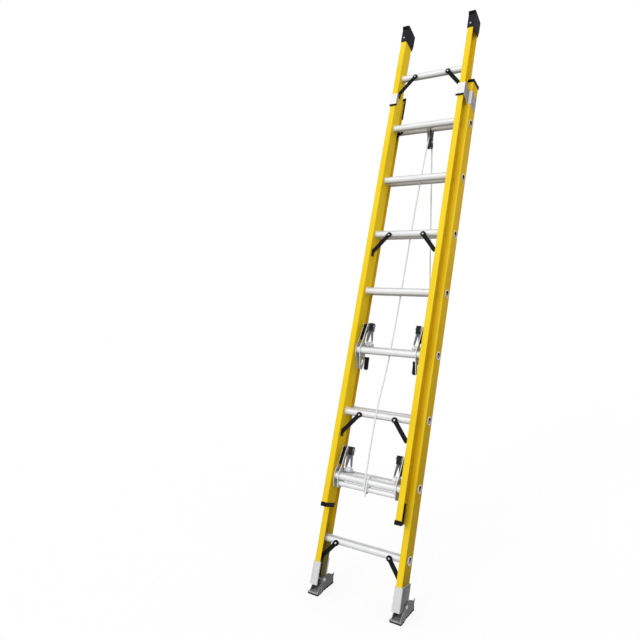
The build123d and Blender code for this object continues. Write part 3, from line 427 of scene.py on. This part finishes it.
# Rope: white yarn, slightly soiled
def rope_fibre():
    paint = Paint("rope_fibre", metallic=0.0, roughness=0.85, specular=0.1)
    yarn = paint.noise((1500, 1500, 1500), detail=3)
    soil = paint.noise((18, 18, 18), detail=4)
    bright = linear(246, 247, 250)
    clean = paint.ramp(yarn, [(0.35, linear(222, 223, 228)), (0.6, bright)])
    surface_tone = paint.ramp(soil, [(0.4, linear(226, 226, 230)), (0.6, bright)])
    paint.colour(paint.mix(0.3, clean, surface_tone))
    paint.bump(yarn, strength=0.5, depth_mm=0.3)
    return paint.mat


# Looks of the CAD nodes: the first key found in a node's name counts
# Painted shade: the shoe darker behind its toe, under the boot, the hook darker on its arms above its foot,
# and darker side faces on shoes, lock plates and guides
SHOE_SHADE_BEHIND_TOE = [(0.26, (0.76, 0.76, 0.75)), (0.42, (0.42, 0.42, 0.42))]
HOOK_ARM_SHADE = [(0.20, WHITE), (0.30, (0.2, 0.2, 0.23))]
SHOE_SIDE_SHADE = (0.4, 0.4, 0.41)
LOCK_SIDE_SHADE = (0.55, 0.55, 0.53)
GUIDE_SIDE_SHADE = (0.29, 0.28, 0.31)
PLATE_GRAIN = (300, 300, 14)
RUNG_METAL = aluminium("rung_metal", linear(241, 242, 243), 0.2, (10, 900, 900), grooved=True)
PLATE_METAL = aluminium("plate_metal", linear(216, 217, 216), 0.1, PLATE_GRAIN)
LOCK_METAL = aluminium("lock_metal", linear(247, 247, 246), 0.1, PLATE_GRAIN, side_shade=LOCK_SIDE_SHADE)
GUIDE_METAL = aluminium("guide_metal", linear(247, 247, 248), 0.1, PLATE_GRAIN, side_shade=GUIDE_SIDE_SHADE)
FOOT_STEEL = aluminium("foot_steel", linear(108, 108, 107), 0.2, (80, 80, 6), wear=0.3)
STRAP_PAINT = dark_matt("strap_paint", linear(13, 13, 15), 0.42, 700, 0.05)
CAP_PLASTIC = dark_matt("cap_plastic", linear(15, 15, 20), 0.55, 900, 0.12)
HOOK_PLASTIC = dark_matt("hook_plastic", linear(32, 32, 36), 0.55, 900, 0.12)
PAD_RUBBER = dark_matt("pad_rubber", linear(36, 35, 35), 0.85, 500, 0.2)
SHEAVE_PLASTIC = dark_matt("sheave_plastic", linear(92, 92, 92), 0.5, 700, 0.08)
SHOE_STEEL = zinc("shoe_steel", linear(206, 207, 208), 0.4, "Y", SHOE_SHADE_BEHIND_TOE, SHOE_SIDE_SHADE)
HOOK_STEEL = zinc("hook_steel", linear(214, 215, 220), 0.5, "Z", HOOK_ARM_SHADE)
BRIGHT_STEEL = zinc("bright_steel", linear(214, 215, 217), 0.6)
HOOD_PLASTIC = hood_plastic()
PULLEY_BODY = pulley_body()
ROPE_FIBRE = rope_fibre()
FLY_FIBRE = fibreglass("fly_fibre", FLY_WEB_SHADE)
BASE_FIBRE = fibreglass("base_fibre", BASE_WEB_SHADE)

LOOKS = {
    "fly_rail": FLY_FIBRE,
    "base_rail": BASE_FIBRE,
    "rung": RUNG_METAL,
    "braces": STRAP_PAINT,
    "gussets": STRAP_PAINT,
    "flipper": CAP_PLASTIC,
    "hook_cap": HOOK_PLASTIC,
    "cap": CAP_PLASTIC,
    "pulley_housing": PULLEY_BODY,
    "housing": CAP_PLASTIC,
    "guide_liners": CAP_PLASTIC,
    "guide_brackets": GUIDE_METAL,
    "foot_plates": FOOT_STEEL,
    "boots": PLATE_METAL,
    "lock_plates": LOCK_METAL,
    "lock_tie_bar": RUNG_METAL,
    "hook": HOOK_STEEL,
    "lock_pins": BRIGHT_STEEL,
    "lock_springs": BRIGHT_STEEL,
    "shoe_pad": PAD_RUBBER,
    "shoe_bolts": BRIGHT_STEEL,
    "shoe": SHOE_STEEL,
    "rivets": BRIGHT_STEEL,
    "pulley_strap": BRIGHT_STEEL,
    "pulley_sheave": SHEAVE_PLASTIC,
    "pulley_axle": BRIGHT_STEEL,
    "rope": ROPE_FIBRE,
}


def dress_nodes():
    for name, node in nodes.items():
        look = next(material for key, material in LOOKS.items() if key in name)
        node.data.materials.clear()
        node.data.materials.append(look)


dress_nodes()


# Hoods over the fly rails' top ends: closed above the rail, with a rounded nose along the front
FLY_ABOVE = 306.0
FLY_HIGH = (RUNGS - 1) * RUNG_PITCH + FLY_ABOVE
HOOD_WALL = 2.5
HOOD_RISE = 16.0
HOOD_SKIRT = 88.0
HOOD_BUMPER = 14.0
HOOD_SLOPE = 16.0
HOOD_HEEL = 28.0
HOOD_POINT = 8.0
HOOD_NOSE = 6.0
HOOD_LID = 26.0
HOOD_ROUND = 2.2
HOOD_ROUND_STEPS = 3
HOOD_GAP = 0.3


def prism(name, outline, x0, x1):
    mesh = bmesh.new()
    ends = [[mesh.verts.new(at(x, y, z)) for y, z in outline] for x in (x0, x1)]
    mesh.faces.new(ends[0])
    mesh.faces.new(reversed(ends[1]))
    for i in range(len(outline)):
        mesh.faces.new((ends[0][i], ends[0][i - 1], ends[1][i - 1], ends[1][i]))
    return object_from(mesh, name)


def hood(side):
    x_low, x_high = (corner[0] * 1000 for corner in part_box(f"fly_rail_{side}"))
    top = FLY_HIGH + HOOD_RISE
    skirt = FLY_HIGH - HOOD_SKIRT
    point = skirt - HOOD_POINT
    lid = top - HOOD_LID
    back = RAIL_DEPTH + HOOD_BUMPER
    nose = -HOOD_WALL - HOOD_NOSE
    outline = [
        (-HOOD_WALL, skirt), (-HOOD_WALL, lid), (nose, lid + HOOD_NOSE), (nose, top - HOOD_POINT),
        (HOOD_NOSE / 2, top), (HOOD_BUMPER, top), (back, top - HOOD_SLOPE), (back, skirt + HOOD_HEEL),
        (back - HOOD_POINT, point), (RAIL_DEPTH - HOOD_POINT, point), (HOOD_POINT, skirt),
    ]
    room_front = -HOOD_GAP
    room_back = RAIL_DEPTH + HOOD_GAP
    room_low = point - HOOD_WALL
    room_high = FLY_HIGH + HOOD_GAP
    room = [(room_front, room_low), (room_front, room_high), (room_back, room_high), (room_back, room_low)]
    solid = prism("hood_block", outline, x_low - HOOD_WALL, x_high + HOOD_WALL)
    cutter = prism("hood_room", room, x_low - HOOD_GAP, x_high + HOOD_GAP)
    edge = solid.modifiers.new("edge", "BEVEL")
    edge.width = HOOD_ROUND / 1000
    edge.segments = HOOD_ROUND_STEPS
    hollow = solid.modifiers.new("hollow", "BOOLEAN")
    hollow.object = cutter
    shaped = bpy.data.meshes.new_from_object(solid.evaluated_get(bpy.context.evaluated_depsgraph_get()))
    bpy.data.objects.remove(cutter)
    bpy.data.objects.remove(solid)
    shaped.materials.clear()
    shaped.materials.append(HOOD_PLASTIC)
    piece = new_object(f"fly_top_hood_{side}", shaped)
    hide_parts("fly_top_caps")
    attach(piece, "fly_section")


for side in ("left", "right"):
    hood(side)


# Rope: strands laid along a smooth line through the route's points
ROPE_R = 4.0
ROPE_STRANDS = 3
ROPE_LAY = 26.0
ROPE_VALLEY = 0.8
RING_STEP = 2.6
RING_SIDES = 15
LINE_STEPS = 40


def smooth_line(name, points):
    data = bpy.data.curves.new(name, "CURVE")
    data.dimensions = "3D"
    data.resolution_u = LINE_STEPS
    spline = data.splines.new("NURBS")
    spline.points.add(len(points) - 1)
    for point, place in zip(spline.points, points):
        point.co = (*place, 1)
    spline.order_u = 3
    spline.use_endpoint_u = True
    carrier = new_object(name, data)
    mesh = bpy.data.meshes.new_from_object(carrier)
    line = [v.co.copy() for v in mesh.vertices]
    bpy.data.objects.remove(carrier)
    bpy.data.meshes.remove(mesh)
    return line


def even_steps(line, step):
    places = [line[0]]
    left = step
    for a, b in zip(line, line[1:]):
        run = (b - a).length
        while left <= run:
            places.append(a.lerp(b, left / run))
            left += step
        left -= run
    if (places[-1] - line[-1]).length > step / 4:
        places.append(line[-1])
    return places


def rope_ring(mesh, place, side, other, lay):
    ring = []
    for k in range(RING_SIDES):
        turn = 2 * math.pi * k / RING_SIDES
        lobe = abs(math.cos((turn - lay) * ROPE_STRANDS / 2))
        reach = ROPE_R / 1000 * (ROPE_VALLEY + (1 - ROPE_VALLEY) * lobe)
        ring.append(mesh.verts.new(place + (side * math.cos(turn) + other * math.sin(turn)) * reach))
    return ring


def rope_tube(name, line):
    places = even_steps(line, RING_STEP / 1000)
    mesh = bmesh.new()
    side = Vector((1, 0, 0))
    rings = []
    for i, place in enumerate(places):
        ahead = places[min(i + 1, len(places) - 1)] - places[max(i - 1, 0)]
        ahead.normalize()
        side = (side - ahead * side.dot(ahead)).normalized()
        rings.append(rope_ring(mesh, place, side, ahead.cross(side), 2 * math.pi * i * RING_STEP / ROPE_LAY))
    for a, b in zip(rings, rings[1:]):
        for k in range(RING_SIDES):
            mesh.faces.new((a[k], a[(k + 1) % RING_SIDES], b[(k + 1) % RING_SIDES], b[k]))
    mesh.faces.new(reversed(rings[0]))
    mesh.faces.new(rings[-1])
    piece = object_from(mesh, name)
    for face in piece.data.polygons:
        face.use_smooth = True
    piece.data.materials.append(ROPE_FIBRE)
    return piece


# The rope's route, repeated from the model's source; the base's bottom rung is a pitch below the fly's
ROPE_GAP = 0.3
RUNG_R = 18.0
BASE_LIFT = 14.0
BASE_RUNG_Y = 100.5
PULLEY_RUNG_Z = BASE_LIFT + (RUNGS - 2) * RUNG_PITCH
PULLEY_X = 4.0
PULLEY_HANG = 72.0
SHEAVE_GROOVE_R = 20.0
ROPE_REACH = SHEAVE_GROOVE_R + ROPE_R + ROPE_GAP
SHEAVE_Y = BASE_RUNG_Y + PULLEY_HANG * math.sin(LEAN)
SHEAVE_Z = PULLEY_RUNG_Z - PULLEY_HANG * math.cos(LEAN)
TIE_FRONT = FLY_RUNG_Y - RUNG_R - ROPE_R - ROPE_GAP
TIE_BACK = FLY_RUNG_Y + RUNG_R + ROPE_R + ROPE_GAP
TIE_LOW = -50.0
TIE_HIGH = 23.3
BETWEEN_Y = (FLY_RUNG_Y + BASE_RUNG_Y) / 2
STRAND_END_Z = RUNG_R
STRAND_ROUTE = [
    (PULLEY_X, BETWEEN_Y + 3, 1535),
    (-3, BETWEEN_Y - 1, 600),
    (-6, TIE_FRONT - 6, 322),
    (-6, TIE_FRONT, STRAND_END_Z),
]
TIE_ROUTE = [
    (-6, TIE_FRONT, STRAND_END_Z - ROPE_GAP),
    (-6, TIE_FRONT - 1, TIE_LOW - 2),
    (-2, TIE_BACK + 1, TIE_LOW - 2),
    (1, TIE_BACK + 2, TIE_HIGH + 3),
    (5, TIE_FRONT - 2, TIE_HIGH + 3),
    (5, TIE_FRONT, TIE_LOW - 14),
]
TAIL_BENDS = 3
TAIL_STRAIGHT = 48.0
TAIL_LENGTH = 1300.0
PLUMB = Vector((0, math.sin(LEAN), -math.cos(LEAN)))
LEVEL = Vector((0, math.cos(LEAN), math.sin(LEAN)))


def front_tangent():
    y = STRAND_ROUTE[0][1] - SHEAVE_Y
    z = STRAND_ROUTE[0][2] - SHEAVE_Z
    return math.atan2(z, y) - math.acos(ROPE_REACH / math.hypot(y, z))


def on_sheave(turn, reach):
    return (PULLEY_X, SHEAVE_Y + reach * math.cos(turn), SHEAVE_Z + reach * math.sin(turn))


FRONT_TURN = front_tangent() % (2 * math.pi)
FRONT_OFF = on_sheave(FRONT_TURN, ROPE_REACH)


def strand():
    line = smooth_line("strand_line", [at(*p) for p in [FRONT_OFF] + STRAND_ROUTE])
    piece = rope_tube("rope_strand_laid", line)
    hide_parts("rope_strand")
    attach(piece, "base_section")
    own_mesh(piece)
    return piece, line


def tail():
    step = (FRONT_TURN - LEAN) / TAIL_BENDS
    corner = ROPE_REACH / math.cos(step / 2)
    bends = [on_sheave(FRONT_TURN - step * (k + 0.5), corner) for k in range(TAIL_BENDS)]
    back = Vector(on_sheave(LEAN, ROPE_REACH))
    hanging = [back + PLUMB * drop for drop in (TAIL_STRAIGHT, TAIL_LENGTH / 2, TAIL_LENGTH)]
    line = smooth_line("tail_line", [at(*p) for p in [FRONT_OFF] + bends + hanging])
    piece = rope_tube("rope_tail_laid", line)
    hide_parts("rope_tail")
    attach(piece, "base_section")
    return piece, line, hanging[-1]


# Stopper knot: a coil wound up the tail's end, with a short stub
KNOT_TURNS = 2.75
KNOT_REACH = 7.4
KNOT_PITCH = 8.2
KNOT_STEPS = 8
KNOT_LEAD = 10.0
KNOT_START = 0.35
KNOT_WIDEN_STEPS = 3
KNOT_STUB = 5.0


def tail_knot(end):
    across = Vector((1, 0, 0))
    route = [end - PLUMB * KNOT_LEAD]
    for k in range(int(KNOT_TURNS * KNOT_STEPS) + 1):
        turn = 2 * math.pi * k / KNOT_STEPS
        reach = KNOT_REACH * min(1, KNOT_START + k / KNOT_WIDEN_STEPS)
        swing = across * math.cos(turn) + LEVEL * math.sin(turn)
        route.append(end + swing * reach + PLUMB * (KNOT_LEAD - KNOT_PITCH * k / KNOT_STEPS))
    route.append(route[-1] + (across - PLUMB) * KNOT_STUB)
    piece = rope_tube("rope_tail_knot", smooth_line("knot_line", [at(*p) for p in route]))
    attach(piece, "base_section")
    return piece


def tie():
    piece = rope_tube("rope_tie_laid", smooth_line("tie_line", [at(*p) for p in TIE_ROUTE]))
    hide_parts("rope_tie")
    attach(piece, "fly_section")
    return piece


strand_piece, strand_line = strand()
tail_piece, tail_line, tail_end = tail()
knot_piece = tail_knot(tail_end)
tie_piece = tie()


# Studio: a pale floor, one soft lamp and a white surround
FLOOR_SIZE = 60
FLOOR_TONE = 0.35
FLOOR_SEEN_TONE = 0.95
FLOOR_SEEN_GLOW = 0.85
WORLD_LEVEL = 0.9
WORLD_SEEN_LEVEL = 1.0
KEY_TOWARDS = (0.12, 0.85, -0.45)
KEY_STRENGTH = 0.9
KEY_SPREAD = math.radians(20)


def background_rays(tree):
    rays = tree.nodes.new("ShaderNodeLightPath")
    seen = rays.outputs["Is Camera Ray"]
    for kind in ("Is Glossy Ray", "Is Transmission Ray"):
        either = tree.nodes.new("ShaderNodeMath")
        either.operation = "MAXIMUM"
        tree.links.new(seen, either.inputs[0])
        tree.links.new(rays.outputs[kind], either.inputs[1])
        seen = either.outputs[0]
    return seen


def seen_level(tree, otherwise, seen):
    level = tree.nodes.new("ShaderNodeMapRange")
    level.inputs["To Min"].default_value = otherwise
    level.inputs["To Max"].default_value = seen
    tree.links.new(background_rays(tree), level.inputs["Value"])
    return level.outputs["Result"]


def make_floor():
    bpy.ops.mesh.primitive_plane_add(size=FLOOR_SIZE)
    floor = bpy.context.object
    floor.name = "floor"
    mat = bpy.data.materials.new("floor_white")
    mat.use_nodes = True
    tree = mat.node_tree
    tree.nodes.clear()
    out = tree.nodes.new("ShaderNodeOutputMaterial")
    diffuse = tree.nodes.new("ShaderNodeBsdfDiffuse")
    glow = tree.nodes.new("ShaderNodeEmission")
    blend = tree.nodes.new("ShaderNodeMixShader")
    tree.links.new(seen_level(tree, FLOOR_TONE, FLOOR_SEEN_TONE), diffuse.inputs["Color"])
    tree.links.new(seen_level(tree, 0, FLOOR_SEEN_GLOW), blend.inputs["Fac"])
    tree.links.new(diffuse.outputs[0], blend.inputs[1])
    tree.links.new(glow.outputs[0], blend.inputs[2])
    tree.links.new(blend.outputs[0], out.inputs["Surface"])
    floor.data.materials.append(mat)


def make_world():
    world = bpy.data.worlds.new("studio")
    bpy.context.scene.world = world
    world.use_nodes = True
    tree = world.node_tree
    back = tree.nodes["Background"]
    back.inputs["Color"].default_value = (*WHITE, 1)
    tree.links.new(seen_level(tree, WORLD_LEVEL, WORLD_SEEN_LEVEL), back.inputs["Strength"])


def make_key():
    data = bpy.data.lights.new("key", "SUN")
    data.energy = KEY_STRENGTH
    data.angle = KEY_SPREAD
    light = new_object("key", data)
    light.rotation_euler = Vector(KEY_TOWARDS).to_track_quat("-Z", "Y").to_euler()


make_floor()
make_world()
make_key()
bpy.context.scene.view_settings.view_transform = "Standard"
